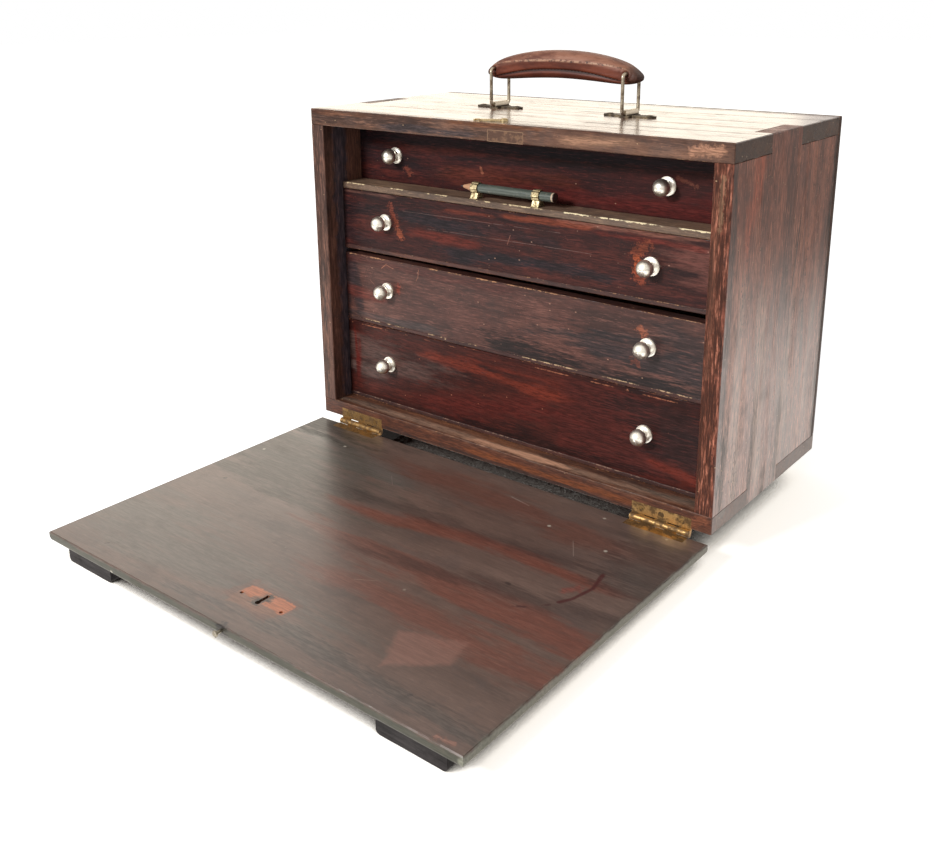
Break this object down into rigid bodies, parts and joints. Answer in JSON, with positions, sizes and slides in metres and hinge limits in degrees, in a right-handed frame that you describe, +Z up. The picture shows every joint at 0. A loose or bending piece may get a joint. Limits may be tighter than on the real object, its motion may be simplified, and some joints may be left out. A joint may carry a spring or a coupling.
{
  "type": "tool chest",
  "caption": "Wooden engineer's tool chest: combed case, hinged fall front, stacked drawers with ball knobs, pencil tray, and a leather handle on two swinging wire rings.",
  "frame": {"origin": "middle of the ground covered by the chest with its fall front open; Z = 0 is the floor under the feet", "axes": "+Z up, +Y to the back of the case, +X to the right seen from the front"},
  "size_m": [0.4, 0.4874, 0.3581],
  "materials": {
    "case_wood": "dark red-brown oiled wood, dulled and scuffed",
    "front_wood": "very dark brown wood with worn edges",
    "drawer_wood": "red-brown mahogany, satin polish",
    "drawer_box_wood": "plain unpolished softwood",
    "brass": "aged brass",
    "dull_brass": "tarnished brass",
    "nickel": "nickel plate, polished and a little cloudy",
    "steel": "steel wire, dulled",
    "grip_leather": "red-brown stitched leather, polished by hands",
    "pencil_paint": "grey-green paint over cedar",
    "graphite": "graphite"
  },
  "bodies": {
    "case": {"top_board": "case_wood", "bottom_board": "case_wood", "left_side": "case_wood", "right_side": "case_wood", "back_panel": "case_wood", "case_feet": "case_wood", "drawer_runners": "drawer_box_wood", "strike_plate": "dull_brass", "strike_screws": "dull_brass", "handle_plate_left": "steel", "handle_plate_right": "steel", "handle_plate_screws": "steel", "hinge_leaf_case_left": "brass", "hinge_leaf_case_right": "brass", "hinge_pins": "brass", "hinge_screws_case": "dull_brass", "hook_screw": "brass"},
    "front": {"fall_front": "front_wood", "front_blocks": "front_wood", "hinge_leaf_front_left": "brass", "hinge_leaf_front_right": "brass", "hinge_screws_front": "dull_brass", "hook_stud": "steel"},
    "hook": {"top_hook": "brass"},
    "drawer_1": {"drawer_1_front": "drawer_wood", "drawer_1_sides": "drawer_box_wood", "drawer_1_back": "drawer_box_wood", "drawer_1_floor": "drawer_box_wood", "drawer_1_knobs": "nickel", "drawer_1_knob_screws": "steel", "pencil_clips": "dull_brass"},
    "drawer_2": {"drawer_2_front": "drawer_wood", "drawer_2_sides": "drawer_box_wood", "drawer_2_back": "drawer_box_wood", "drawer_2_floor": "drawer_box_wood", "drawer_2_knobs": "nickel", "drawer_2_knob_screws": "steel"},
    "drawer_3": {"drawer_3_front": "drawer_wood", "drawer_3_sides": "drawer_box_wood", "drawer_3_back": "drawer_box_wood", "drawer_3_floor": "drawer_box_wood", "drawer_3_knobs": "nickel", "drawer_3_knob_screws": "steel"},
    "drawer_4": {"drawer_4_front": "drawer_wood", "drawer_4_sides": "drawer_box_wood", "drawer_4_back": "drawer_box_wood", "drawer_4_floor": "drawer_box_wood", "drawer_4_knobs": "nickel", "drawer_4_knob_screws": "steel"},
    "pencil": {"pencil_wood": "pencil_paint", "pencil_lead": "graphite"},
    "left_ring": {"ring_left": "steel"},
    "right_ring": {"ring_right": "steel"},
    "grip": {"handle_grip": "grip_leather"}
  },
  "joints": [
    {"name": "front_hinge", "type": "hinge", "parent": "case", "child": "front", "pos_m": [0, 0.0482, 0.0195], "axis": [1, 0, 0], "range_deg": [-90, 0]},
    {"name": "drawer_1_slide", "type": "slide", "parent": "case", "child": "drawer_1", "axis": [0, -1, 0], "range_m": [0, 0.115]},
    {"name": "drawer_2_slide", "type": "slide", "parent": "case", "child": "drawer_2", "axis": [0, -1, 0], "range_m": [0, 0.14]},
    {"name": "drawer_3_slide", "type": "slide", "parent": "case", "child": "drawer_3", "axis": [0, -1, 0], "range_m": [0, 0.14]},
    {"name": "drawer_4_slide", "type": "slide", "parent": "case", "child": "drawer_4", "axis": [0, -1, 0], "range_m": [0, 0.14]},
    {"name": "pencil_slide", "type": "slide", "parent": "drawer_1", "child": "pencil", "axis": [-1, 0, 0], "range_m": [0, 0.05]},
    {"name": "hook_swing", "type": "hinge", "parent": "case", "child": "hook", "pos_m": [0.0015, 0.0637, 0.3089], "axis": [0, 0, 1], "range_deg": [0, 63]},
    {"name": "left_ring_swing", "type": "hinge", "parent": "case", "child": "left_ring", "pos_m": [-0.0645, 0.1467, 0.31102], "axis": [0, 1, 0], "range_deg": [-69, 69]},
    {"name": "right_ring_swing", "type": "hinge", "parent": "case", "child": "right_ring", "pos_m": [0.0645, 0.1467, 0.31102], "axis": [0, 1, 0], "range_deg": [-69, 69]},
    {"name": "grip_turn", "type": "hinge", "parent": "left_ring", "child": "grip", "pos_m": [-0.0645, 0.1467, 0.34152], "axis": [0, 1, 0], "range_deg": [-69, 69]}
  ],
  "couplings": [
    {"joint": "right_ring_swing", "follows": "left_ring_swing", "ratio": 1},
    {"joint": "grip_turn", "follows": "left_ring_swing", "ratio": -1}
  ]
}
